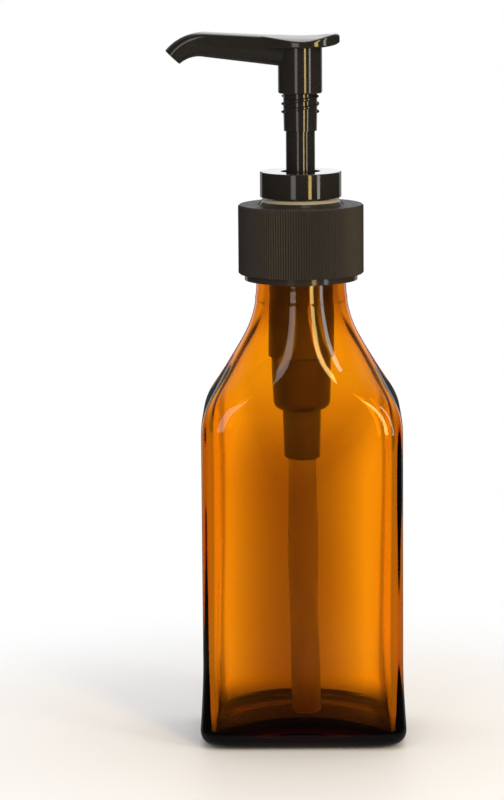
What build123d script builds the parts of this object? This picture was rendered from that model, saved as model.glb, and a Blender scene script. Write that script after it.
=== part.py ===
from build123d import *
import math
import os

os.makedirs("parts", exist_ok=True)

# Bottle, outside (mm; origin on the axis at the bearing face, +Z up, spout along -X)
body_w = 52.7
body_d = 38.0
body_corner = 6.0
panel_full = 0.25
front_span = 36.0
side_span = 26.0
heel_grow = 0.9
heel_top_z = 22.0
heel_round = 4.0
panel_top_z = 81.5
shoulder_r = 26.3
shoulder_lean = 32.0
neck_arc_r = 27.0
neck_r = 11.75
neck_base_z = 120.4
rim_z = 138.0
rim_round = 0.8

# Bottle, inside
wall = 2.6
inner_corner = 5.5
floor_z = 3.6
floor_rise = 4.0
inner_heel = 3.2
bore_r = 9.3
push_up = 1.8
push_up_r = 13.5

# Neck finish and closure thread, 28-410 with six turns to the inch
finish_root_r = 12.4
finish_crest_r = 13.7
thread_pitch = 25.4 / 6
thread_turns = 1.5
finish_thread_z = 129.4
thread_base = 2.3
thread_crest = 1.0
cap_bore_r = 14.05
cap_crest_r = 12.85
cap_base = 1.9
cap_crest = 0.9
thread_root_sink = 0.3
thread_seat = 1.65

# Closure
closure_rib_r = 16.4
closure_root_r = 16.1
closure_ribs = 150
closure_bottom_z = 123.75
closure_top_z = 141.8
closure_plate = 1.2
closure_edge = 0.4
closure_foot_edge = 0.3
envelope_gap = 0.01
lip_r = 14.75
lip_drop = 1.65
closure_hole_r = 7.6
closure_boss_r = 9.9
closure_boss_foot_r = 11.2
closure_boss_h = 1.6
closure_boss_sink = 0.5

# Pump housing
flange_r = 12.2
flange_t = 1.2
gasket_t = 1.2
gasket_in_r = 8.6
barrel_r = 8.35
barrel_bore_r = 7.3
barrel_bottom_z = 101.3
bore_bottom_z = 103.0
chamber_top_r = 7.55
chamber_foot_r = 7.3
chamber_bore_r = 6.4
chamber_bottom_z = 87.6
chamber_floor = 1.2
chamber_round = 2.2
socket_r = 4.85
socket_bottom_z = 74.8
socket_depth = 11.0
socket_chamfer = 0.5
inlet_r = 1.75
vent_r = 0.6
vent_z = 129.4

# Dip tube and inlet ball
tube_r = 3.8
tube_bore_r = 2.9
tube_end_gap = 0.5
tube_drift = 8.2
tube_drift_deg = 6.3
tube_end_round = 0.45
ball_r = 2.5

# Lock ring with its stem guide
ring_r = 10.62
ring_gap = 0.3
ring_top_z = 150.4
ring_round = 0.3
ring_hole_r = 5.2
ring_hole_floor_z = 144.0
plug_end_z = 131.0
relief_r = 5.9
relief_top_z = 136.0
seal_t = 2.4
seal_lift = 0.2

# Lock thread on the head and in the ring, two starts
lock_lead = 4.2
lock_root_r = 4.42
lock_crest_r = 4.95
lock_base = 1.25
lock_crest = 0.35
lock_low_z = 165.9
lock_turns = 0.97
lock_starts = 2
ring_crest_r = 4.72
ring_thread_low_z = 146.2
ring_thread_turns = 0.7

# Stem, valve pin and piston
stem_r = 3.8
stem_bore_r = 1.9
stem_spigot_r = 3.2
stem_top_z = 175.5
stem_end_z = 118.5
stem_collar_r = 5.4
stem_collar_t = 1.5
port_r = 0.8
pin_r = 1.85
pin_flat = 1.1
pin_top_z = 127.0
pin_flange_r = 5.0
pin_flange_t = 1.7
pin_spigot_r = 2.6
pin_spigot = 4.5
pin_nose = 0.6
pin_nose_h = 0.8
piston_sleeve_r = 4.9
piston_shift = 1.0
piston_lip_t = 0.9
piston_web = 1.6
piston_mid = 4.6

# Return spring
wire_r = 0.45
coil_r = 3.9
coil_turns = 9
coil_steps = 2

# Actuator head
head_z = 170.75
boss_r = 5.75
boss_edge = 0.3
boss_sink = 1.0
skirt_end_z = 161.0
skirt_end_r = 4.3
socket_fit_r = 3.23
passage_r = 1.5
spout_start = (0.0, 181.25)
spout_bend = (-24.4, 183.5)
spout_turn_deg = 51.8
spout_bend_r = 10.6
# spout sections: half width, height of the top over the centre line, crown radius, edge radius
spout_root = (4.1, 4.3, 14.0, 1.0)
spout_bend_section = (3.3, 3.3, 11.0, 1.2)
spout_tip = (2.55, 2.55, 4.0, 1.9)
outlet_r = 1.45
# saddle sections: x, half width, height of the top's middle, crown radius, height of the underside
saddle_stations = [
    (-13.0, 3.0, 186.00, 14.0, 182.90),
    (-10.0, 3.6, 186.02, 14.0, 182.75),
    (-7.0, 4.8, 185.98, 14.5, 182.65),
    (-4.0, 5.9, 185.88, 15.0, 182.62),
    (-1.0, 6.7, 185.76, 16.0, 182.60),
    (2.0, 6.9, 185.78, 17.0, 182.60),
    (5.0, 6.4, 185.94, 22.0, 182.72),
    (7.4, 5.3, 186.16, 30.0, 182.98),
    (9.2, 3.7, 186.14, 36.0, 183.35),
    (10.3, 2.0, 185.45, 36.0, 184.00),
]
saddle_edge_r = 0.8
saddle_foot_r = 0.4

# Clearances
slide_gap = 0.06
press_gap = 0.03
seat_gap = 0.03
stop_gap = 0.3
loose_gap = 0.2

# Heights that follow from the stack on the rim
gasket_top_z = rim_z + gasket_t
flange_top_z = gasket_top_z + flange_t
ring_bottom_z = closure_top_z + closure_boss_h + ring_gap
chamber_floor_z = chamber_bottom_z + chamber_floor
socket_top_z = socket_bottom_z + socket_depth
inlet_cone_z = chamber_floor_z - inlet_r
ball_z = inlet_cone_z - inlet_r + math.sqrt(2) * (ball_r + seat_gap)
stem_collar_z = plug_end_z - stop_gap - stem_collar_t
pin_flange_z = stem_end_z - stop_gap - pin_flange_t
spring_top_z = pin_flange_z
piston_low_z = stem_end_z - stop_gap + seat_gap
piston_top_z = stem_collar_z - piston_shift - seat_gap
tube_end_z = floor_z + floor_rise + tube_end_gap
boss_top_z = min(under for *_, under in saddle_stations) + boss_sink


def turned(points):
    """Solid of revolution about Z of a closed (radius, height) outline."""
    return revolve(make_face(Polyline([(r, 0, z) for r, z in points], close=True)), Axis.Z)


def tube(outer, inner, low, high):
    """Plain round sleeve between two heights."""
    return turned([(inner, low), (outer, low), (outer, high), (inner, high)])


def upright(radius, low, high):
    """Plain round bar on the axis between two heights."""
    bar = Cylinder(radius, high - low, align=(Align.CENTER, Align.CENTER, Align.MIN))
    return Pos(0, 0, low) * bar


def plan_points(half_w, half_d, corner):
    """Joints and middles of the eight arcs of a rounded rectangle with slightly full sides."""
    flat_w = half_w - corner
    flat_d = half_d - corner
    slant = corner * math.sqrt(0.5)
    quarter = [
        (flat_w, half_d - panel_full),
        (flat_w + slant, flat_d + slant - panel_full),
        (half_w - panel_full, flat_d),
    ]
    return round_trip(quarter, half_w, half_d)


def circle_points(radius):
    """The same sixteen points on a circle."""
    quarter = []
    for angle in (90 - front_span, (90 - front_span + side_span) / 2, side_span):
        turn = math.radians(angle)
        quarter.append((radius * math.cos(turn), radius * math.sin(turn)))
    return round_trip(quarter, radius, radius)


def round_trip(quarter, half_w, half_d):
    """Mirrors a quarter's joint, middle and joint into the whole outline, clockwise from the front."""
    (ax, ay), (mx, my), (bx, by) = quarter
    return [
        (0, half_d), (ax, ay), (mx, my), (bx, by),
        (half_w, 0), (bx, -by), (mx, -my), (ax, -ay),
        (0, -half_d), (-ax, -ay), (-mx, -my), (-bx, -by),
        (-half_w, 0), (-bx, by), (-mx, my), (-ax, ay),
    ]


def outline(points, z):
    """Face on the level z bounded by eight arcs through the sixteen points."""
    arcs = []
    for i in range(-1, 15, 2):
        arcs.append(ThreePointArc(points[i], points[i + 1], points[(i + 2) % 16]))
    return Pos(0, 0, z) * make_face(arcs)


def rounded(half_w, half_d, corner, z):
    """Rounded rectangle of the given half sizes on the level z."""
    return outline(plan_points(half_w, half_d, corner), z)


def shoulder_level(z):
    """Half width of the S-shaped shoulder at height z: convex arc, slope, concave arc."""
    lean = math.radians(shoulder_lean)
    top = panel_top_z + shoulder_r * math.sin(lean)
    foot = neck_base_z - neck_arc_r * math.sin(lean)
    if z < top:
        angle = math.asin((z - panel_top_z) / shoulder_r)
        return body_w / 2 - shoulder_r * (1 - math.cos(angle))
    if z > foot:
        angle = math.asin((neck_base_z - z) / neck_arc_r)
        return neck_r + neck_arc_r * (1 - math.cos(angle))
    high = body_w / 2 - shoulder_r * (1 - math.cos(lean))
    low = neck_r + neck_arc_r * (1 - math.cos(lean))
    return high + (low - high) * (z - top) / (foot - top)


def shoulder_share(z):
    """1 where the shoulder leaves the panel, 0 where it meets the neck."""
    return (shoulder_level(z) - neck_r) / (body_w / 2 - neck_r)


def shoulder_section(z, half_w, half_d, corner, end_r):
    """Section between the body's rounded rectangle and the round neck."""
    share = shoulder_share(z)
    body = plan_points(half_w, half_d, corner)
    neck = circle_points(end_r)
    mixed = [
        (nx + (bx - nx) * share, ny + (by - ny) * share)
        for (bx, by), (nx, ny) in zip(body, neck)
    ]
    return outline(mixed, z)


def helical_ridge(root_r, crest_r, base, crest, pitch, turns, low_z, start_deg=0.0):
    """Trapezoid ridge swept along a helix; its flanks stay level with the axis."""
    path = Helix(pitch, pitch * turns, root_r)
    ridge = Plane.XZ * make_face(
        Polyline(
            [
                (root_r, -base / 2),
                (crest_r, -crest / 2),
                (crest_r, crest / 2),
                (root_r, base / 2),
            ],
            close=True,
        )
    )
    swept = sweep(ridge, path=path, is_frenet=True)
    return Pos(0, 0, low_z) * Rot(0, 0, start_deg) * swept


def make_bottle():
    """Glass bottle: rounded-rectangle body, S-shaped shoulder, threaded neck, pushed-up base."""
    levels = [panel_top_z + (neck_base_z - panel_top_z) * i / 12 for i in range(13)]
    half_w = body_w / 2
    half_d = body_d / 2
    angles = [math.radians(a) for a in (0, 22.5, 45, 67.5, 90)]
    heel = loft(
        [
            rounded(
                half_w + heel_grow - heel_round * (1 - math.sin(a)),
                half_d + heel_grow - heel_round * (1 - math.sin(a)),
                body_corner + heel_grow - heel_round * (1 - math.sin(a)),
                heel_round * (1 - math.cos(a)),
            )
            for a in angles
        ]
    )
    foot = loft(
        [
            rounded(half_w + heel_grow, half_d + heel_grow, body_corner + heel_grow, heel_round),
            rounded(half_w, half_d, body_corner, heel_top_z),
        ],
        ruled=True,
    )
    panel = extrude(rounded(half_w, half_d, body_corner, heel_top_z), panel_top_z - heel_top_z)
    shoulder = loft([shoulder_section(z, half_w, half_d, body_corner, neck_r) for z in levels])
    neck = turned(
        [
            (0, neck_base_z),
            (neck_r, neck_base_z),
            (neck_r, closure_bottom_z - lip_drop),
            (finish_root_r, closure_bottom_z),
            (finish_root_r, rim_z - rim_round),
            (finish_root_r - rim_round, rim_z),
            (0, rim_z),
        ]
    )
    thread = helical_ridge(
        finish_root_r - thread_root_sink,
        finish_crest_r,
        thread_base,
        thread_crest,
        thread_pitch,
        thread_turns,
        finish_thread_z,
    )
    outside = heel + foot + panel + shoulder + neck + thread
    in_w = half_w - wall
    in_d = half_d - wall
    dish = loft(
        [
            rounded(
                in_w - inner_heel * (1 - math.sin(a)),
                in_d - inner_heel * (1 - math.sin(a)),
                inner_corner - inner_heel / 2 * (1 - math.sin(a)),
                floor_z + inner_heel * (1 - math.cos(a)),
            )
            for a in angles
        ]
    )
    dish_top_z = floor_z + inner_heel
    hollow = extrude(rounded(in_w, in_d, inner_corner, dish_top_z), panel_top_z - dish_top_z)
    throat = loft([shoulder_section(z, in_w, in_d, inner_corner, bore_r) for z in levels])
    bore = upright(bore_r, neck_base_z, rim_z + 1)
    floor_r = (in_w**2 + floor_rise**2) / (2 * floor_rise)
    floor = Pos(0, 0, floor_z + floor_rise - floor_r) * Rot(90, 0, 0) * Cylinder(floor_r, body_d)
    cap_r = (push_up_r**2 + push_up**2) / (2 * push_up)
    arch = Pos(0, 0, push_up - cap_r) * Sphere(cap_r)
    return outside - (dish + hollow + throat + bore - floor) - arch


def make_closure():
    """Ribbed screw closure with a plain lip below and a raised seat for the lock ring."""
    ribs = []
    for i in range(closure_ribs):
        for step, r in ((0.0, closure_rib_r), (0.5, closure_root_r)):
            turn = 2 * math.pi * (i + step) / closure_ribs
            ribs.append((r * math.cos(turn), r * math.sin(turn)))
    height = closure_top_z - closure_bottom_z
    jacket = Pos(0, 0, closure_bottom_z) * extrude(make_face(Polyline(ribs, close=True)), height)
    envelope = turned(
        [
            (0, closure_bottom_z),
            (closure_root_r, closure_bottom_z),
            (closure_rib_r + envelope_gap, closure_bottom_z + closure_foot_edge),
            (closure_rib_r + envelope_gap, closure_top_z - closure_edge),
            (closure_rib_r - closure_edge, closure_top_z),
            (0, closure_top_z),
        ]
    )
    lip = upright(lip_r, closure_bottom_z - lip_drop, closure_bottom_z + 1)
    boss = turned(
        [
            (0, closure_top_z - closure_boss_sink),
            (closure_boss_foot_r, closure_top_z - closure_boss_sink),
            (closure_boss_foot_r, closure_top_z),
            (closure_boss_r, closure_top_z + closure_boss_h),
            (0, closure_top_z + closure_boss_h),
        ]
    )
    inside = upright(cap_bore_r, closure_bottom_z - lip_drop - 1, closure_top_z - closure_plate)
    hole = upright(closure_hole_r, closure_bottom_z, closure_top_z + closure_boss_h + 1)
    thread = helical_ridge(
        cap_bore_r + thread_root_sink,
        cap_crest_r,
        cap_base,
        cap_crest,
        thread_pitch,
        thread_turns,
        finish_thread_z - thread_seat,
    )
    return (jacket & envelope) + lip + boss - inside - hole + thread


def make_lock_ring():
    """Lock ring: gloss rim with a threaded mouth, guide for the stem and plug into the housing."""
    ring = turned(
        [
            (barrel_bore_r - press_gap, plug_end_z),
            (barrel_bore_r - press_gap, ring_bottom_z),
            (ring_r, ring_bottom_z),
            (ring_r, ring_top_z),
            (ring_hole_r, ring_top_z),
            (ring_hole_r, ring_hole_floor_z),
            (stem_r + slide_gap, ring_hole_floor_z),
            (stem_r + slide_gap, relief_top_z),
            (relief_r, relief_top_z),
            (relief_r, plug_end_z),
        ]
    )
    rim = ring.edges().filter_by(GeomType.CIRCLE).filter_by(lambda e: e.radius > ring_r - 0.01)
    ring = fillet(rim, ring_round)
    for start in range(lock_starts):
        ring += helical_ridge(
            ring_hole_r + thread_root_sink,
            ring_crest_r,
            lock_base,
            lock_crest,
            lock_lead,
            ring_thread_turns,
            ring_thread_low_z,
            start * 360 / lock_starts,
        )
    return ring


def make_stem_seal():
    """Soft wiper under the stem guide."""
    top = relief_top_z - seal_lift
    return tube(relief_r - press_gap, stem_r + slide_gap, top - seal_t, top)


def make_neck_gasket():
    """Flat gasket between the bottle's rim and the housing's flange."""
    return tube(flange_r, gasket_in_r, rim_z, gasket_top_z)


def make_housing():
    """Pump housing: flange, barrel, spring chamber with the inlet seat, socket for the dip tube."""
    shell = turned(
        [
            (0, socket_bottom_z),
            (socket_r - socket_chamfer, socket_bottom_z),
            (socket_r, socket_bottom_z + socket_chamfer),
            (socket_r, chamber_bottom_z),
            (chamber_foot_r, chamber_bottom_z),
            (chamber_top_r, barrel_bottom_z),
            (barrel_r, barrel_bottom_z + 0.5),
            (barrel_r, gasket_top_z),
            (flange_r, gasket_top_z),
            (flange_r, flange_top_z),
            (0, flange_top_z),
        ]
    )
    foot = shell.edges().filter_by(GeomType.CIRCLE)
    foot = foot.filter_by(lambda e: abs(e.radius - chamber_foot_r) < 0.01)
    shell = fillet(foot, chamber_round)
    step = barrel_bore_r - chamber_bore_r
    hollow = turned(
        [
            (0, chamber_floor_z),
            (chamber_bore_r, chamber_floor_z),
            (chamber_bore_r, bore_bottom_z - step),
            (barrel_bore_r, bore_bottom_z),
            (barrel_bore_r, flange_top_z + 1),
            (0, flange_top_z + 1),
        ]
    )
    corner = hollow.edges().filter_by(GeomType.CIRCLE).sort_by(Axis.Z)[0]
    hollow = fillet(corner, chamber_round - chamber_floor)
    seat = turned(
        [
            (0, socket_top_z - 1),
            (inlet_r, socket_top_z - 1),
            (inlet_r, inlet_cone_z),
            (2 * inlet_r, chamber_floor_z),
            (2 * inlet_r, chamber_floor_z + 1),
            (0, chamber_floor_z + 1),
        ]
    )
    socket = upright(tube_r + press_gap, socket_bottom_z - 1, socket_top_z)
    vent = Pos(0, 0, vent_z) * Rot(90, 0, 0) * Cylinder(vent_r, 2 * (barrel_r + 1))
    return shell - hollow - seat - socket - vent


def make_dip_tube():
    """Dip tube: straight in the housing's socket, then curving forward to just above the floor."""
    hang = socket_bottom_z - tube_end_z
    curve_r = (hang**2 + tube_drift**2) / (2 * tube_drift)
    sweep_deg = math.degrees(math.asin((hang + 2 * tube_r) / curve_r))
    ring = Pos(0, 0, socket_bottom_z) * (Circle(tube_r) - Circle(tube_bore_r))
    hinge = Axis((0, -curve_r, socket_bottom_z), (-1, 0, 0))
    pipe = tube(tube_r, tube_bore_r, socket_bottom_z, socket_top_z - loose_gap)
    pipe += revolve(ring, hinge, sweep_deg)
    side = 4 * (tube_drift + tube_r)
    pipe -= Pos(0, 0, tube_end_z) * Box(side, side, side, align=(Align.CENTER, Align.CENTER, Align.MAX))
    low = pipe.edges().group_by(Axis.Z)[0].sort_by(SortBy.LENGTH)[-1]
    return Rot(0, 0, tube_drift_deg) * fillet(low, tube_end_round)


def make_inlet_ball():
    """Glass check ball on the conical seat in the chamber's floor."""
    return Pos(0, 0, ball_z) * Sphere(ball_r)


def biarc(p0, t0, p1, t1):
    """Two arcs, tangent to each other, from p0 along t0 to p1 along t1."""
    v = p1 - p0
    t = t0 + t1
    a = 2 * (1 - t0.dot(t1))
    b = 2 * v.dot(t)
    c = -v.dot(v)
    d = (-b + math.sqrt(b * b - 4 * a * c)) / (2 * a)
    joint = (p0 + p1 + (t0 - t1) * d) * 0.5
    return [Edge.make_tangent_arc(p0, t0, joint), Edge.make_tangent_arc(p1, t1 * -1, joint).reversed()]


def coil_point(turn, low, high):
    """Point and direction on the spring's centre line, turn counted from the lower end."""
    angle = 2 * math.pi * turn
    rise = (high - low) / coil_turns
    here = Vector(coil_r * math.cos(angle), coil_r * math.sin(angle), low + rise * turn)
    along = Vector(-coil_r * math.sin(angle), coil_r * math.cos(angle), rise / (2 * math.pi))
    return here, along.normalized()


def make_return_spring():
    """Round-wire compression spring between the chamber floor and the valve pin's flange."""
    low = chamber_floor_z + wire_r + seat_gap
    high = spring_top_z - wire_r - seat_gap
    edges = []
    for i in range(coil_turns * coil_steps):
        p0, t0 = coil_point(i / coil_steps, low, high)
        p1, t1 = coil_point((i + 1) / coil_steps, low, high)
        edges += biarc(p0, t0, p1, t1)
    path = Wire(edges)
    samples = [path.position_at(i / 900) for i in range(901)]
    apart = int(900 / coil_turns * 0.5)
    least = min((samples[i] - samples[j]).length for i in range(901) for j in range(i + apart, 901))
    print("spring least gap to itself", round(least - 2 * wire_r, 3))
    start, along = coil_point(0, low, high)
    return sweep(Plane(origin=start, z_dir=along) * Circle(wire_r), path=path)


def make_piston():
    """Soft piston: lipped skirts on the barrel's bore and a sleeve that slides on the stem."""
    skirt_r = barrel_bore_r - slide_gap
    mid_z = (piston_low_z + piston_top_z) / 2
    low_lip = mid_z - piston_mid / 2
    high_lip = mid_z + piston_mid / 2
    return turned(
        [
            (stem_r + slide_gap, piston_low_z),
            (piston_sleeve_r, piston_low_z),
            (piston_sleeve_r, mid_z - piston_web / 2),
            (skirt_r - piston_lip_t, mid_z - piston_web / 2),
            (skirt_r - piston_lip_t, low_lip),
            (skirt_r, low_lip - piston_lip_t),
            (skirt_r, low_lip),
            (skirt_r - piston_lip_t / 3, mid_z),
            (skirt_r, high_lip),
            (skirt_r, high_lip + piston_lip_t),
            (skirt_r - piston_lip_t, high_lip),
            (skirt_r - piston_lip_t, mid_z + piston_web / 2),
            (piston_sleeve_r, mid_z + piston_web / 2),
            (piston_sleeve_r, piston_top_z),
            (stem_r + slide_gap, piston_top_z),
        ]
    )


def make_valve_pin():
    """Valve pin: shank with flats in the stem's bore, flange for the spring, centring spigot."""
    pin = turned(
        [
            (0, pin_flange_z - pin_spigot),
            (pin_spigot_r - pin_nose, pin_flange_z - pin_spigot),
            (pin_spigot_r, pin_flange_z - pin_spigot + pin_nose_h),
            (pin_spigot_r, pin_flange_z),
            (pin_flange_r, pin_flange_z),
            (pin_flange_r, pin_flange_z + pin_flange_t),
            (pin_r, pin_flange_z + pin_flange_t),
            (pin_r, pin_top_z),
            (0, pin_top_z),
        ]
    )
    shank = pin_top_z - pin_flange_z - pin_flange_t
    flat = Box(2 * pin_r, 2 * pin_r, shank, align=(Align.CENTER, Align.MIN, Align.MIN))
    flat = Pos(0, pin_flat, pin_flange_z + pin_flange_t) * flat
    return pin - flat - Rot(0, 0, 180) * flat


def make_stem():
    """Hollow stem: spigot in the head, collar that stops under the guide, side ports at its foot."""
    stem = turned(
        [
            (stem_bore_r, stem_end_z),
            (stem_r, stem_end_z),
            (stem_r, stem_collar_z),
            (stem_collar_r, stem_collar_z),
            (stem_collar_r, stem_collar_z + stem_collar_t),
            (stem_r, stem_collar_z + stem_collar_t),
            (stem_r, skirt_end_z - seat_gap),
            (stem_spigot_r, skirt_end_z - seat_gap),
            (stem_spigot_r, stem_top_z),
            (stem_bore_r, stem_top_z),
        ]
    )
    port = Pos(0, 0, stem_end_z + 2 * port_r) * Rot(90, 0, 0) * Cylinder(port_r, 3 * stem_r)
    return stem - port


def spout_line():
    """Start, bend and directions of the spout's centre line in the XZ plane."""
    start = Vector(spout_start[0], 0, spout_start[1])
    bend = Vector(spout_bend[0], 0, spout_bend[1])
    along = (bend - start).normalized()
    inward = Vector(-along.Z, 0, along.X)
    return start, bend, along, inward


def crowned_top(half_w, top, crown_r, edge_r):
    """Edges over a section from its right side to its left: edge arc, crown arc and edge arc, all tangent.

    Also gives the height at which the upright sides end.
    """
    flat = (half_w - edge_r) / (1 - edge_r / crown_r)
    tilt = math.asin(flat / crown_r)
    middle = (tilt + math.pi / 2) / 2
    centre_y = flat - edge_r * math.sin(tilt)
    side_z = top - crown_r + (crown_r - edge_r) * math.cos(tilt)
    edge_z = side_z + edge_r * math.cos(tilt)
    turn_y = centre_y + edge_r * math.sin(middle)
    turn_z = side_z + edge_r * math.cos(middle)
    edges = [
        ThreePointArc((half_w, side_z), (turn_y, turn_z), (flat, edge_z)),
        ThreePointArc((flat, edge_z), (0, top), (-flat, edge_z)),
        ThreePointArc((-flat, edge_z), (-turn_y, turn_z), (-half_w, side_z)),
    ]
    return edges, side_z


def spout_section(centre, ahead, half_w, top, crown_r, edge_r):
    """Section of the spout square to its centre line: round below, upright sides and a crowned top."""
    edges, side_z = crowned_top(half_w, top, crown_r, edge_r)
    edges += [
        Line((-half_w, side_z), (-half_w, 0)),
        ThreePointArc((-half_w, 0), (0, -half_w), (half_w, 0)),
        Line((half_w, 0), (half_w, side_z)),
    ]
    return Plane(origin=centre, x_dir=(0, -1, 0), z_dir=ahead) * make_face(edges)


def outlet_section(centre, ahead, radius):
    """Disc square to the spout's centre line."""
    return Plane(origin=centre, x_dir=(0, -1, 0), z_dir=ahead) * Circle(radius)


def along_spout(section, root, bend_size, tip, overrun):
    """Tapered straight run and tapered bend through sections of the given sizes; overrun lengthens the bend."""
    start, bend, along, inward = spout_line()
    run = loft([section(start, along, *root), section(bend, along, *bend_size)])
    turn = math.radians(spout_turn_deg) + overrun / spout_bend_r
    sections = []
    for share in (0.0, 0.25, 0.5, 0.75, 1.0):
        angle = turn * share
        offset = along * math.sin(angle) + inward * (1 - math.cos(angle))
        ahead = along * math.cos(angle) + inward * math.sin(angle)
        size = [low + (high - low) * share for low, high in zip(bend_size, tip)]
        sections.append(section(bend + offset * spout_bend_r, ahead, *size))
    return run + loft(sections)


def saddle_section(x, half_w, top, crown_r, under):
    """Section of the thumb saddle on the plane at x: crowned top, upright sides and rounded lower edges."""
    edges, side_z = crowned_top(half_w, top, crown_r, saddle_edge_r)
    foot_z = under + saddle_foot_r
    foot_y = half_w - saddle_foot_r
    turn = saddle_foot_r * math.sqrt(0.5)
    edges += [
        Line((-half_w, side_z), (-half_w, foot_z)),
        ThreePointArc((-half_w, foot_z), (-foot_y - turn, foot_z - turn), (-foot_y, under)),
        Line((-foot_y, under), (foot_y, under)),
        ThreePointArc((foot_y, under), (foot_y + turn, foot_z - turn), (half_w, foot_z)),
        Line((half_w, foot_z), (half_w, side_z)),
    ]
    return Plane(origin=(x, 0, 0), x_dir=(0, 1, 0), z_dir=(1, 0, 0)) * make_face(edges)


def make_actuator_head():
    """Saddle-shaped head with a bent spout, boss, lock thread and socket for the stem."""
    boss = turned(
        [
            (0, skirt_end_z),
            (skirt_end_r, skirt_end_z),
            (lock_root_r, head_z - lock_lead),
            (lock_root_r, head_z),
            (boss_r - boss_edge, head_z),
            (boss_r, head_z + boss_edge),
            (boss_r, boss_top_z),
            (0, boss_top_z),
        ]
    )
    saddle = loft([saddle_section(*station) for station in saddle_stations])
    spout = along_spout(spout_section, spout_root, spout_bend_section, spout_tip, 0)
    head = boss + spout + saddle
    socket = upright(socket_fit_r, skirt_end_z - 1, stem_top_z + seat_gap)
    passage = upright(passage_r, stem_top_z - 1, spout_start[1])
    outlet = along_spout(outlet_section, (outlet_r,), (outlet_r,), (outlet_r,), 1)
    head = head - socket - passage - outlet
    for start in range(lock_starts):
        head += helical_ridge(
            lock_root_r - thread_root_sink,
            lock_crest_r,
            lock_base,
            lock_crest,
            lock_lead,
            lock_turns,
            lock_low_z,
            start * 360 / lock_starts,
        )
    return head


makers = {
    "bottle": make_bottle,
    "closure": make_closure,
    "lock_ring": make_lock_ring,
    "stem_seal": make_stem_seal,
    "neck_gasket": make_neck_gasket,
    "housing": make_housing,
    "dip_tube": make_dip_tube,
    "inlet_ball": make_inlet_ball,
    "return_spring": make_return_spring,
    "piston": make_piston,
    "valve_pin": make_valve_pin,
    "stem": make_stem,
    "actuator_head": make_actuator_head,
}

for name, make in makers.items():
    part = make()
    solids = part.solids()
    print(name, len(solids), "solid(s), volume", round(sum(s.volume for s in solids), 1))
    part.label = name
    export_step(part, f"parts/{name}.step")
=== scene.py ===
import math

import bpy
import numpy as np
from mathutils import Matrix, Vector


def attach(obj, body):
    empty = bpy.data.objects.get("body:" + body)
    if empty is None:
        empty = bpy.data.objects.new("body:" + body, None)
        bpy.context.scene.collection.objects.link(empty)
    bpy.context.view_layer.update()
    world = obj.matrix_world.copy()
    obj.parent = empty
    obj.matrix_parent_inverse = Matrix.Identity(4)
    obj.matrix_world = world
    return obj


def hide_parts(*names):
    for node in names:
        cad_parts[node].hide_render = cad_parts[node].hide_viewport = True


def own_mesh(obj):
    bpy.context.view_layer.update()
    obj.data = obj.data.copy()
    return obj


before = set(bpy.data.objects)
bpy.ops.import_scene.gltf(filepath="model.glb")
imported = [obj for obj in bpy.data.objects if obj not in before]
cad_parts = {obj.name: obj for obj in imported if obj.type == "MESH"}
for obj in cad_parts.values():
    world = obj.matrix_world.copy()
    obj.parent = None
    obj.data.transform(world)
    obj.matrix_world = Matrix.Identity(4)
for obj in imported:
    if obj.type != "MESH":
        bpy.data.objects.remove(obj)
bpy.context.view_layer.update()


# The bottle is blown amber glass with a rounded rectangular body, a long S-shaped shoulder
# and a round threaded neck. The wall is even, the corners are thicker inside, and the floor
# is a low dome over an arched underside that stands on a ring (sizes in mm).
panel_w, panel_d, panel_power = 26.35, 19.0, 9.0
inner_w, inner_d, inner_power = 24.05, 16.5, 9.2
neck_r, finish_r, bore_r, rim_z = 11.75, 12.4, 9.3, 138.0
convex_r, convex_z = 18.0, 83.7
concave_r, concave_z = 27.0, 120.4
shoulder_lean = math.radians(32)
arch_w, arch_d, arch_h = 21.4, 14.1, 1.8
heel_r, flare, flare_top_z = 4.0, 0.85, 22.0
dish_r, floor_z, dome_h, dome_w = 3.2, 1.5, 4.0, 23.0
thread_pitch, thread_z, thread_turns, thread_h = 4.233, 129.4, 1.5, 1.3


def grid_object(name, rings):
    """Mesh from an array of rings (rows, points, 3); the rings close round and the ends have caps."""
    rows, count = rings.shape[:2]
    index = np.arange(rows * count).reshape(rows, count)
    after = np.roll(index, -1, axis=1)
    quads = np.stack([index[:-1], after[:-1], after[1:], index[1:]], axis=-1).reshape(-1, 4)
    faces = quads.tolist() + [index[0][::-1].tolist(), index[-1].tolist()]
    mesh = bpy.data.meshes.new(name)
    mesh.from_pydata(rings.reshape(-1, 3).tolist(), [], faces)
    mesh.polygons.foreach_set("use_smooth", np.ones(len(faces), dtype=bool))
    mesh.update()
    obj = bpy.data.objects.new(name, mesh)
    bpy.context.scene.collection.objects.link(obj)
    return obj


def shoulder_share(z):
    """1 at the panel and 0 at the neck: a convex arc, a straight slope and a concave arc."""
    fall, drop = math.sin(shoulder_lean), 1 - math.cos(shoulder_lean)
    slope_low_z, slope_high_z = convex_z + convex_r * fall, concave_z - concave_r * fall
    slope_wide, slope_narrow = panel_w - convex_r * drop, neck_r + concave_r * drop
    convex = panel_w - convex_r + np.sqrt(convex_r**2 - np.clip(z - convex_z, 0, 12) ** 2)
    concave = neck_r + concave_r - np.sqrt(concave_r**2 - np.clip(concave_z - z, 0, 20) ** 2)
    along = (z - slope_low_z) / (slope_high_z - slope_low_z)
    slope = slope_wide + (slope_narrow - slope_wide) * along
    level = np.where(z < slope_low_z, convex, np.where(z > slope_high_z, concave, slope))
    return (level - neck_r) / (panel_w - neck_r)


def eased_share(z):
    """The same share averaged over 5 mm of height, so the panel runs into the shoulder without a line."""
    return shoulder_share(z[:, None] + np.linspace(-2.5, 2.5, 19)).mean(axis=1)


def profile_rows(z, half_w, half_d, power, lift=0.0, inside=0.0):
    """Rows (z, half width, half depth, power, share of the dome, inside or not) from arrays and constants."""
    return np.stack(np.broadcast_arrays(z, half_w, half_d, power, lift, inside), 1)


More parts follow.
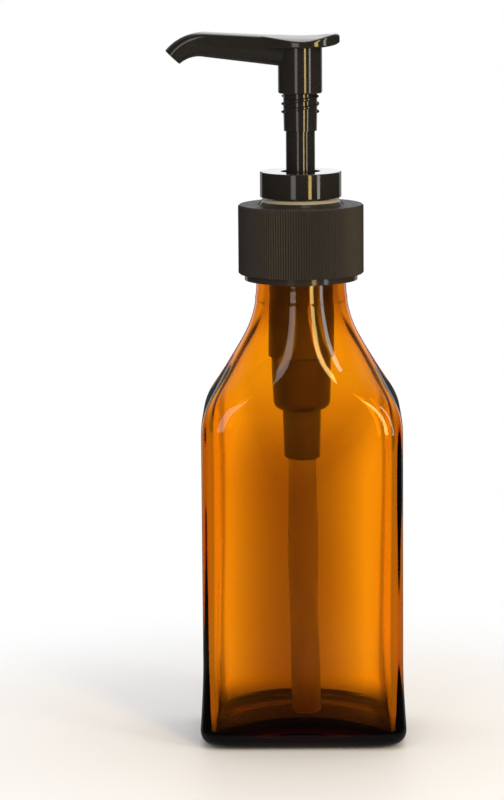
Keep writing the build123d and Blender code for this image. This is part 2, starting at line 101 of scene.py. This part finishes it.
def bottle_profile():
    """Rows from the middle of the underside up the outside, over the rim and down to the inner floor."""
    s = np.linspace(0.02, 1, 12)
    arch = profile_rows(arch_h * (1 - s**2), arch_w * s, arch_d * s, 2 + 4 * s**2)
    t = np.radians(np.linspace(0, 90, 12))
    side = flare - heel_r * (1 - np.sin(t))
    heel = profile_rows(heel_r * (1 - np.cos(t)), panel_w + side, panel_d + side, 6 + 3 * np.sin(t))
    z = np.linspace(5.5, flare_top_z, 12)
    side = flare * ((flare_top_z - z) / (flare_top_z - heel_r)) ** 1.6
    foot = profile_rows(z, panel_w + side, panel_d + side, panel_power)
    panel = profile_rows(np.linspace(26, 75, 14), panel_w, panel_d, panel_power)

    z = np.linspace(77, concave_z, 60)
    share = eased_share(z)
    seam = 0.16 * np.exp(-(((z - 117.6) / 0.55) ** 2))
    wide, deep = neck_r + (panel_w - neck_r) * share + seam, neck_r + (panel_d - neck_r) * share + seam
    shoulder = profile_rows(z, wide, deep, 2 + (panel_power - 2) * share**5)
    z = np.concatenate([np.linspace(120.8, 124.4, 10), np.linspace(124.8, 137.2, 64)])
    step = (finish_r - neck_r) * np.clip((z - 122.1) / 1.6, 0, 1)
    r = neck_r + step + (panel_w - neck_r) * eased_share(z)
    neck = profile_rows(z, r, r, 2)
    t = np.radians(np.linspace(15, 90, 6))
    r = finish_r - 0.8 * (1 - np.cos(t))
    rim = profile_rows(rim_z - 0.8 * (1 - np.sin(t)), r, r, 2)
    r = bore_r + 0.6 * (1 - np.cos(t))
    lip = profile_rows(rim_z - 0.6 * (1 - np.sin(t)), r, r, 2)[::-1]

    z = np.linspace(136.9, 121.2, 16)
    r = bore_r + (inner_w - bore_r) * eased_share(z)
    bore = profile_rows(z, r, r, 2, inside=1)
    z = np.linspace(concave_z, 77, 52)
    share = eased_share(z)
    wide, deep = bore_r + (inner_w - bore_r) * share, bore_r + (inner_d - bore_r) * share
    throat = profile_rows(z, wide, deep, 2 + (inner_power - 2) * share**5, inside=1)
    z = np.linspace(75, 10, 24)
    hollow = profile_rows(z, inner_w, inner_d, inner_power, np.clip((40 - z) / 30, 0, 1), 1)
    t = np.radians(np.linspace(90, 0, 14))
    side = dish_r * (1 - np.sin(t))
    power = 5.5 + (inner_power - 5.5) * np.sin(t)
    dish = profile_rows(floor_z + dish_r * (1 - np.cos(t)), inner_w - side, inner_d - side, power, 1, 1)
    s = np.linspace(0.95, 0.02, 12)
    floor = profile_rows(floor_z, (inner_w - dish_r) * s, (inner_d - dish_r) * s, 2 + 3.5 * s**2, 1, 1)
    outside = [arch, heel, foot, panel, shoulder, neck, rim, lip]
    return np.concatenate(outside + [bore, throat, hollow, dish, floor])


def thread_ridge(z, t):
    """Height of the helical ridge z = thread_z + pitch * turn, with sloping flanks and faded ends."""
    turn = (t / (2 * np.pi)) % 1
    ridge = np.zeros(np.broadcast_shapes(z.shape, t.shape))
    for lap in (0, 1):
        off = np.abs(z - thread_z - thread_pitch * (turn + lap))
        along = np.clip(np.minimum(turn + lap, thread_turns - turn - lap) / 0.04, 0, 1)
        ridge = np.maximum(ridge, along * np.clip((1.15 - off) / 0.55, 0, 1) * thread_h)
    return ridge


def bottle_rings():
    """Rows are superellipses r = (|cos t / a|^n + |sin t / b|^n)^(-1/n) with the ridge on the finish.

    Inside, the floor rises by dome_h (1 - (x / dome_w)^2) and the front and back swell by a slow wave.
    The power of the inner corners drifts with height, to one side and then to the other.
    """
    z, a, b, n, lift, inside = bottle_profile().T[:, :, None]
    t = np.linspace(0, 2 * np.pi, 288, endpoint=False)[None, :]
    t = t + 0.18 * np.sin(4 * t) * np.clip((n - 2) / 7, 0, 1)
    above_floor = inside * np.clip((z - 12) / 10, 0, 1)
    drift = np.cos(t) * np.sin(0.06 * (z - 51.5 - 5.5 * np.cos(t)))
    n = n + 1.2 * above_floor * np.clip((86 - z) / 8, 0, 1) * drift
    r = (np.abs(np.cos(t) / a) ** n + np.abs(np.sin(t) / b) ** n) ** (-1 / n)
    finish = (inside == 0) & (z > 124.5) & (a > finish_r - 0.1)
    r = r + np.where(finish, thread_ridge(z, t), 0)
    wave = np.sin(t) ** 2 * np.sin(0.11 * z + 1.7 * np.cos(t) + 0.6) * np.cos(3 * t + 0.05 * z)
    r = r + 0.16 * wave * above_floor * (z < 116)
    x = r * np.cos(t)
    z = z + lift * dome_h * (1 - (x / dome_w) ** 2)
    return np.stack([x, r * np.sin(t), z], -1) / 1000


def add_group(name, outputs, colours=()):
    """New shader node group with (name, socket type) outputs and named colour inputs."""
    group = bpy.data.node_groups.new(name, "ShaderNodeTree")
    for label, kind in outputs:
        group.interface.new_socket(label, in_out="OUTPUT", socket_type=kind)
    for label in colours:
        group.interface.new_socket(label, in_out="INPUT", socket_type="NodeSocketColor")
    if colours:
        group.nodes.new("NodeGroupInput")
    group.nodes.new("NodeGroupOutput")
    return group


def put_out(group, label, value):
    """Joins a value to a group's output."""
    group.links.new(value, group.nodes["Group Output"].inputs[label])


def object_xyz(group):
    """X, Y and Z of the object's own coordinates in metres."""
    split = group.nodes.new("ShaderNodeSeparateXYZ")
    group.links.new(group.nodes.new("ShaderNodeTexCoord").outputs["Object"], split.inputs["Vector"])
    return split.outputs["X"], split.outputs["Y"], split.outputs["Z"]


def noise(group, scale, detail, stretch=(1, 1, 1)):
    """Noise over the object's own coordinates in metres, stretched along each axis."""
    coords = group.nodes.new("ShaderNodeTexCoord")
    mapping = group.nodes.new("ShaderNodeMapping")
    mapping.inputs["Scale"].default_value = stretch
    texture = group.nodes.new("ShaderNodeTexNoise")
    texture.inputs["Scale"].default_value = scale
    texture.inputs["Detail"].default_value = detail
    group.links.new(coords.outputs["Object"], mapping.inputs["Vector"])
    group.links.new(mapping.outputs["Vector"], texture.inputs["Vector"])
    return texture.outputs["Fac"]


def bumped(group, value, distance, strength=1.0):
    """Normal tilted by a height field of the given depth in metres."""
    node = group.nodes.new("ShaderNodeBump")
    node.inputs["Distance"].default_value = distance
    node.inputs["Strength"].default_value = strength
    group.links.new(value, node.inputs["Height"])
    return node.outputs["Normal"]


def ramp(group, value, start, end, low=0.0, high=1.0):
    """Smooth step of a value from low at start to high at end."""
    node = group.nodes.new("ShaderNodeMapRange")
    node.interpolation_type = "SMOOTHSTEP"
    node.inputs["From Min"].default_value = start
    node.inputs["From Max"].default_value = end
    node.inputs["To Min"].default_value = low
    node.inputs["To Max"].default_value = high
    group.links.new(value, node.inputs["Value"])
    return node.outputs["Result"]


def worked(group, operation, first, second=None):
    """Math node on one or two values; a plain number is set on its socket."""
    node = group.nodes.new("ShaderNodeMath")
    node.operation = operation
    for socket, value in zip(node.inputs, (first, second)):
        if isinstance(value, (int, float)):
            socket.default_value = value
        elif value is not None:
            group.links.new(value, socket)
    return node.outputs[0]


def mixed(group, share, first, second):
    """Colour between two colours."""
    node = group.nodes.new("ShaderNodeMix")
    node.data_type = "RGBA"
    group.links.new(share, node.inputs["Factor"])
    group.links.new(first, node.inputs["A"])
    group.links.new(second, node.inputs["B"])
    return node.outputs["Result"]


def principled(name, colour, settings, *effects):
    """Principled material with constant settings and effects (group, linked inputs, group colours)."""
    material = bpy.data.materials.new(name)
    material.use_nodes = True
    tree = material.node_tree
    shader = tree.nodes["Principled BSDF"]
    shader.inputs["Base Color"].default_value = (*colour, 1)
    for socket, value in settings.items():
        shader.inputs[socket].default_value = value
    for group, links, colours in effects:
        node = tree.nodes.new("ShaderNodeGroup")
        node.node_tree = group
        for label, value in colours.items():
            node.inputs[label].default_value = (*value, 1)
        for output, socket in links.items():
            tree.links.new(node.outputs[output], shader.inputs[socket])
    return material


ripple = add_group("blown_glass_ripple", [("Normal", "NodeSocketVector")])
put_out(ripple, "Normal", bumped(ripple, noise(ripple, 60, 1.0, (1, 1, 0.5)), 0.00035, 0.5))
# The glass colour carries painted shade: a darker amber in the middle of the body and up the neck, lighter
# towards the sides and on the shoulder.
amber_painted_shade = add_group("amber_painted_shade", [("Color", "NodeSocketColor")], ("Painted_shade_middle", "Clear", "Painted_shade_corner", "Painted_shade_foot"))
shades = amber_painted_shade.nodes["Group Input"].outputs
x, y, z = object_xyz(amber_painted_shade)
from_middle = worked(amber_painted_shade, "ABSOLUTE", x)
from_wall = worked(amber_painted_shade, "ABSOLUTE", y)
shift = ramp(amber_painted_shade, z, 0.07, 0.09, 0.002, -0.003)
across = worked(amber_painted_shade, "DIVIDE", worked(amber_painted_shade, "ADD", x, shift), 0.0188)
across = worked(amber_painted_shade, "POWER", worked(amber_painted_shade, "ABSOLUTE", across), 1.8)
upper = worked(
    amber_painted_shade, "MINIMUM", ramp(amber_painted_shade, z, 0.066, 0.1), ramp(amber_painted_shade, z, 0.106, 0.122, 1.0, 0.0)
)
clear_share = worked(amber_painted_shade, "MINIMUM", worked(amber_painted_shade, "MAXIMUM", across, upper), 1.0)
# Painted shade: the glass is tinted dark olive at the rounded corners of the body.
painted_corner_shade = worked(
    amber_painted_shade,
    "MULTIPLY",
    ramp(amber_painted_shade, from_middle, 0.0222, 0.0256),
    ramp(amber_painted_shade, from_wall, 0.009, 0.0145),
)
# Painted shade: the lower corners and the bottom 12 mm of the glass are tinted near black.
painted_foot_shade_corners = worked(
    amber_painted_shade,
    "MULTIPLY",
    ramp(amber_painted_shade, from_middle, 0.02, 0.024, 0.0, 0.28),
    ramp(amber_painted_shade, z, 0.032, 0.01),
)
foot = worked(amber_painted_shade, "MAXIMUM", painted_foot_shade_corners, ramp(amber_painted_shade, z, 0.012, 0.002))
tint = mixed(amber_painted_shade, clear_share, shades["Painted_shade_middle"], shades["Clear"])
tint = mixed(amber_painted_shade, painted_corner_shade, tint, shades["Painted_shade_corner"])
put_out(amber_painted_shade, "Color", mixed(amber_painted_shade, foot, tint, shades["Painted_shade_foot"]))
amber_tint_and_painted_shade = {
    "Painted_shade_middle": (0.56, 0.41, 0.1),
    "Clear": (1, 0.86, 0.2),
    "Painted_shade_corner": (0.3, 0.3, 0.1),
    "Painted_shade_foot": (0.007, 0.024, 0.016),
}
amber = principled(
    "amber_glass",
    (0.9, 0.8, 0.18),
    {"Roughness": 0.0, "IOR": 1.52, "Transmission Weight": 1.0},
    (ripple, {"Normal": "Normal"}, {}),
    (amber_painted_shade, {"Color": "Base Color"}, amber_tint_and_painted_shade),
)
absorb = amber.node_tree.nodes.new("ShaderNodeVolumeAbsorption")
absorb.inputs["Color"].default_value = (0.975, 0.745, 0.1, 1)
absorb.inputs["Density"].default_value = 780
amber.node_tree.links.new(absorb.outputs["Volume"], amber.node_tree.nodes["Material Output"].inputs["Volume"])
bottle = grid_object("bottle_glass", bottle_rings())
bottle.data.materials.append(amber)
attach(bottle, "bottle")
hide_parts("bottle")


# The pump housing hangs in the neck and the shoulder. It is moulded in natural polypropylene,
# cloudy rather than clear, so the spring and the pin inside it show as a darker core.
def spread(group, value, low, high):
    """Maps a noise value between 0.3 and 0.7 to the range low to high."""
    node = group.nodes.new("ShaderNodeMapRange")
    node.inputs["From Min"].default_value = 0.3
    node.inputs["From Max"].default_value = 0.7
    node.inputs["To Min"].default_value = low
    node.inputs["To Max"].default_value = high
    group.links.new(value, node.inputs["Value"])
    return node.outputs["Result"]


def dress(node, material):
    """Gives a CAD node its material."""
    node.data.materials.clear()
    node.data.materials.append(material)


cloud = add_group(
    "natural_plastic_cloud", [("Color", "NodeSocketColor"), ("Roughness", "NodeSocketFloat")], ("Dark", "Light")
)
shades = cloud.nodes["Group Input"].outputs
streaks = spread(cloud, noise(cloud, 220, 2.0, (1, 1, 0.3)), 0, 1)
put_out(cloud, "Color", mixed(cloud, streaks, shades["Dark"], shades["Light"]))
put_out(cloud, "Roughness", spread(cloud, noise(cloud, 900, 2.0), 0.3, 0.42))
cloud_links = {"Color": "Base Color", "Roughness": "Roughness"}
natural_pp = principled(
    "natural_pp",
    (0.3, 0.29, 0.26),
    {"IOR": 1.49, "Transmission Weight": 0.3},
    (cloud, cloud_links, {"Dark": (0.11, 0.106, 0.098), "Light": (0.16, 0.156, 0.143)}),
)
natural_pe = principled(
    "natural_pe",
    (0.7, 0.68, 0.62),
    {"IOR": 1.3, "Transmission Weight": 0.9},
    (cloud, cloud_links, {"Dark": (0.84, 0.83, 0.8), "Light": (0.92, 0.91, 0.88)}),
)
dress(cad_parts["housing"], natural_pp)
dress(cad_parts["valve_pin"], natural_pp)
dress(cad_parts["piston"], natural_pe)

# The dip tube is extruded polyethylene with a thick wall. It hangs from its socket and bends
# forward, so its cut end comes down on the front of the floor's arch.
dress(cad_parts["dip_tube"], natural_pe)


# The return spring is drawn stainless wire with its ends resting on the chamber floor and on
# the pin's flange. The inlet ball sits in its cone inside the lowest turn.
def spring_rings():
    """Circle of the wire's radius carried along a helix of nine turns (mm)."""
    turns, coil_r, wire_r, low_z, high_z = 9, 3.9, 0.45, 89.28, 116.02
    turn = np.linspace(0, turns, turns * 32 + 1)[:, None]
    around = np.linspace(0, 2 * np.pi, 12, endpoint=False)[None, :]
    rise = (high_z - low_z) / turns
    slope = math.atan(rise / (2 * np.pi * coil_r))
    angle = 2 * np.pi * turn
    out, up = wire_r * np.cos(around), wire_r * np.sin(around)
    x = (coil_r + out) * np.cos(angle) + up * math.sin(slope) * np.sin(angle)
    y = (coil_r + out) * np.sin(angle) - up * math.sin(slope) * np.cos(angle)
    return np.stack([x, y, low_z + rise * turn + up * math.cos(slope)], -1) / 1000


drawn = add_group("drawn_wire", [("Roughness", "NodeSocketFloat")])
put_out(drawn, "Roughness", spread(drawn, noise(drawn, 1500, 3.0), 0.22, 0.38))
steel = principled(
    "spring_steel", (0.6, 0.6, 0.61), {"Metallic": 1.0}, (drawn, {"Roughness": "Roughness"}, {})
)
spring = grid_object("return_spring_wire", spring_rings())
spring.data.materials.append(steel)
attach(spring, "pump_body")
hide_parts("return_spring")
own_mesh(spring)
ball_glass = principled(
    "ball_glass",
    (0.9, 0.95, 0.93),
    {"Roughness": 0.02, "IOR": 1.52, "Transmission Weight": 1.0},
    (ripple, {"Normal": "Normal"}, {}),
)
dress(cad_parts["inlet_ball"], ball_glass)

# The gasket is a flat foamed washer on the rim and the stem seal a soft black wiper. Both are
# hidden at rest and keep a plain dull surface.
dull = add_group("dull_soft", [("Roughness", "NodeSocketFloat"), ("Normal", "NodeSocketVector")])
put_out(dull, "Roughness", spread(dull, noise(dull, 1200, 3.0), 0.6, 0.85))
put_out(dull, "Normal", bumped(dull, noise(dull, 4000, 2.0), 0.00002, 0.3))
finish_links = {"Roughness": "Roughness", "Normal": "Normal"}
foam = principled("gasket_foam", (0.8, 0.8, 0.78), {}, (dull, finish_links, {}))
wiper = principled("seal_rubber", (0.02, 0.02, 0.02), {}, (dull, finish_links, {}))
dress(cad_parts["neck_gasket"], foam)
dress(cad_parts["stem_seal"], wiper)


# The closure is moulded black polypropylene with a fine matte texture over its ribs. Its top
# rise and its lower lip are smooth, and a pale band on the seat under the lock ring is a painted highlight.
def blended(group, share, first, second):
    """Value between two values; a plain number is set on its socket."""
    node = group.nodes.new("ShaderNodeMix")
    group.links.new(share, node.inputs["Factor"])
    for socket, value in ((node.inputs["A"], first), (node.inputs["B"], second)):
        if isinstance(value, (int, float)):
            socket.default_value = value
        else:
            group.links.new(value, socket)
    return node.outputs["Result"]


lip_top_z, rise_z, seat_z = 0.12372, 0.14184, 0.14262
matte = add_group(
    "matte_mould",
    [("Color", "NodeSocketColor"), ("Roughness", "NodeSocketFloat"), ("Normal", "NodeSocketVector")],
    ("Side", "Painted_seat_highlight"),
)
shades = matte.nodes["Group Input"].outputs
height = object_xyz(matte)[2]
# Painted highlight: above seat_z the colour turns pale, standing in for light caught on the seat.
seat = worked(matte, "GREATER_THAN", height, seat_z)
rise = worked(matte, "GREATER_THAN", height, rise_z)
smooth = worked(matte, "MAXIMUM", rise, worked(matte, "LESS_THAN", height, lip_top_z))
grain = spread(matte, noise(matte, 700, 3.0), 0.5, 0.64)
put_out(matte, "Color", mixed(matte, seat, shades["Side"], shades["Painted_seat_highlight"]))
put_out(matte, "Roughness", blended(matte, smooth, grain, 0.1))
put_out(matte, "Normal", bumped(matte, noise(matte, 5200, 2.0), 0.00002, 0.25))
black_matte = principled(
    "black_matte",
    (0.026, 0.022, 0.019),
    {"Specular IOR Level": 0.28},
    (
        matte,
        {"Color": "Base Color", "Roughness": "Roughness", "Normal": "Normal"},
        {"Side": (0.026, 0.022, 0.019), "Painted_seat_highlight": (0.34, 0.3, 0.22)},
    ),
)
dress(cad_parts["closure"], black_matte)

# The lock ring, the stem and the head are polished black mouldings. Their gloss is deep, with
# faint flow waviness, and they mirror the white surroundings at glancing angles.
polish = add_group("polished_mould", [("Roughness", "NodeSocketFloat"), ("Normal", "NodeSocketVector")])
put_out(polish, "Roughness", spread(polish, noise(polish, 160, 3.0), 0.05, 0.12))
put_out(polish, "Normal", bumped(polish, noise(polish, 90, 1.0), 0.00008, 0.08))
black_gloss = principled("black_gloss", (0.014, 0.0128, 0.0116), {"IOR": 1.49}, (polish, finish_links, {}))
dress(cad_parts["lock_ring"], black_gloss)
dress(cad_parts["stem"], black_gloss)
dress(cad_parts["actuator_head"], black_gloss)

# A plain pale floor carries the bottle and turns into the white backdrop away from it. Through
# the glass, the small round of floor under the bottle shows a dark painted shadow, and the rest of it is white.
floor_r, floor_points = 0.6, 96
turn = np.linspace(0, 2 * np.pi, floor_points, endpoint=False)
edge = floor_r * np.stack([np.cos(turn), np.sin(turn), 0 * turn], -1)
floor_mesh = bpy.data.meshes.new("floor")
floor_mesh.from_pydata(edge.tolist(), [], [list(range(floor_points))])
floor = bpy.data.objects.new("floor", floor_mesh)
bpy.context.scene.collection.objects.link(floor)
pale = principled("pale_floor", (0.84, 0.83, 0.82), {"Roughness": 0.6})
tree = pale.node_tree
rays = tree.nodes.new("ShaderNodeLightPath").outputs
reach = tree.nodes.new("ShaderNodeVectorMath")
reach.operation = "LENGTH"
tree.links.new(tree.nodes.new("ShaderNodeTexCoord").outputs["Object"], reach.inputs[0])
away = worked(tree, "MULTIPLY", ramp(tree, reach.outputs["Value"], 0.05, 0.16), rays["Is Camera Ray"])
# Painted shadow: seen through the glass, the floor within 31 mm of the middle glows nearly black.
through_glass_painted_shadow = ramp(tree, reach.outputs["Value"], 0.031, 0.035, 0.02, 1.08)
glow = tree.nodes.new("ShaderNodeEmission")
tree.links.new(blended(tree, rays["Is Camera Ray"], through_glass_painted_shadow, 1.0), glow.inputs["Strength"])
blend = tree.nodes.new("ShaderNodeMixShader")
tree.links.new(worked(tree, "MAXIMUM", away, rays["Is Transmission Ray"]), blend.inputs["Fac"])
tree.links.new(tree.nodes["Principled BSDF"].outputs["BSDF"], blend.inputs[1])
tree.links.new(glow.outputs["Emission"], blend.inputs[2])
tree.links.new(blend.outputs["Shader"], tree.nodes["Material Output"].inputs["Surface"])
floor_mesh.materials.append(pale)
floor.visible_glossy = False

# Soft studio light: a large lamp overhead and three upright lamps in front, one of them warm,
# whose long reflections run down the polished parts and curl over the shoulder.
for name, place, aim_z, size, power, tint in (
    ("top_soft", (0.1, 0.12, 1.1), 0.1, (0.8, 0.8), 3.2, (1, 1, 1)),
    ("warm_strip", (0.30, -0.61, 0.365), 0.365, (0.1, 0.69), 2.76, (1, 0.7, 0.24)),
    ("right_strip", (0.53, -0.42, 0.4), 0.4, (0.1, 0.76), 1.39, (1, 0.95, 0.9)),
    ("left_strip", (-0.24, -0.64, 0.32), 0.32, (0.16, 0.54), 0.67, (1, 0.97, 0.94)),
):
    data = bpy.data.lights.new(name, "AREA")
    data.shape = "RECTANGLE"
    data.size, data.size_y = size
    data.energy = power
    data.color = tint
    lamp = bpy.data.objects.new(name, data)
    bpy.context.scene.collection.objects.link(lamp)
    lamp.location = place
    lamp.rotation_euler = (Vector((0, 0, aim_z)) - Vector(place)).to_track_quat("-Z", "Y").to_euler()

# White surroundings for the camera and the glass. Mirrored light comes from the wall behind the
# bottle and from a bright soft ceiling over it, while the room in front and beside stays dim.
world = bpy.data.worlds.new("studio")
world.use_nodes = True
bpy.context.scene.world = world
tree = world.node_tree
rays = tree.nodes.new("ShaderNodeLightPath").outputs
facing = tree.nodes.new("ShaderNodeSeparateXYZ")
tree.links.new(tree.nodes.new("ShaderNodeTexCoord").outputs["Generated"], facing.inputs["Vector"])
to_back, to_top = facing.outputs["Y"], facing.outputs["Z"]
to_side = worked(tree, "ABSOLUTE", facing.outputs["X"])
to_end = worked(tree, "ABSOLUTE", to_back)
flank = ramp(tree, to_side, 0.02, 0.06, 1.0, 0.05)
middle = ramp(tree, to_side, 0.08, 0.2, 1.0, 0.1)
behind = ramp(tree, to_back, 0.72, 0.95)
spared = worked(tree, "MULTIPLY", ramp(tree, to_top, 0.0, 0.06), middle)
spared = worked(tree, "MAXIMUM", spared, worked(tree, "MAXIMUM", flank, ramp(tree, to_side, 0.3, 0.42)))
wall = worked(tree, "MULTIPLY", behind, ramp(tree, to_top, -0.26, -0.1))
wall = worked(tree, "MULTIPLY", wall, spared)
ceiling = worked(tree, "MULTIPLY", ramp(tree, to_back, -0.2, 0.5), ramp(tree, to_top, 0.08, 0.6, 0.0, 3.0))
ceiling = worked(tree, "MULTIPLY", ceiling, middle)
horizon = worked(tree, "MULTIPLY", flank, ramp(tree, to_top, 0.05, 0.09, 0.0, 1.6))
horizon = worked(tree, "MULTIPLY", horizon, behind)
dim = ramp(tree, to_top, -0.19, -0.27, 0.03, 0.14)
room = worked(tree, "MAXIMUM", worked(tree, "MAXIMUM", wall, ceiling), worked(tree, "MAXIMUM", horizon, dim))
ends = ramp(tree, to_end, 0.45, 0.85, 0.6, 1.08)
beyond = worked(tree, "MAXIMUM", ends, ramp(tree, to_side, 0.9, 0.99, 0.0, 0.3))
beyond = worked(tree, "MULTIPLY", beyond, ramp(tree, to_top, 0.06, 0.22, 1.0, 0.08))
level = blended(tree, rays["Is Glossy Ray"], 0.7, room)
level = blended(tree, rays["Is Transmission Ray"], level, beyond)
level = blended(tree, rays["Is Camera Ray"], level, 1.0)
tree.nodes["Background"].inputs["Color"].default_value = (1, 1, 1, 1)
tree.links.new(level, tree.nodes["Background"].inputs["Strength"])

# The view is taken with a long lens from the front, from a little above the pump's head. The
# camera looks down at the bottle and leans by less than half a degree.
camera_place = (0.0003, -0.913, 0.2357)
camera_turn, camera_tilt, camera_roll = 0.842, 80.937, -0.44
camera_data = bpy.data.cameras.new("camera")
camera_data.lens = 157.96
camera_data.sensor_width = 36
camera_data.clip_start = 0.01
camera = bpy.data.objects.new("camera", camera_data)
bpy.context.scene.collection.objects.link(camera)
camera.matrix_world = (
    Matrix.Translation(camera_place)
    @ Matrix.Rotation(math.radians(camera_turn), 4, "Z")
    @ Matrix.Rotation(math.radians(camera_tilt), 4, "X")
    @ Matrix.Rotation(math.radians(camera_roll), 4, "Z")
)
bpy.context.scene.camera = camera
bpy.context.scene.view_settings.view_transform = "Standard"
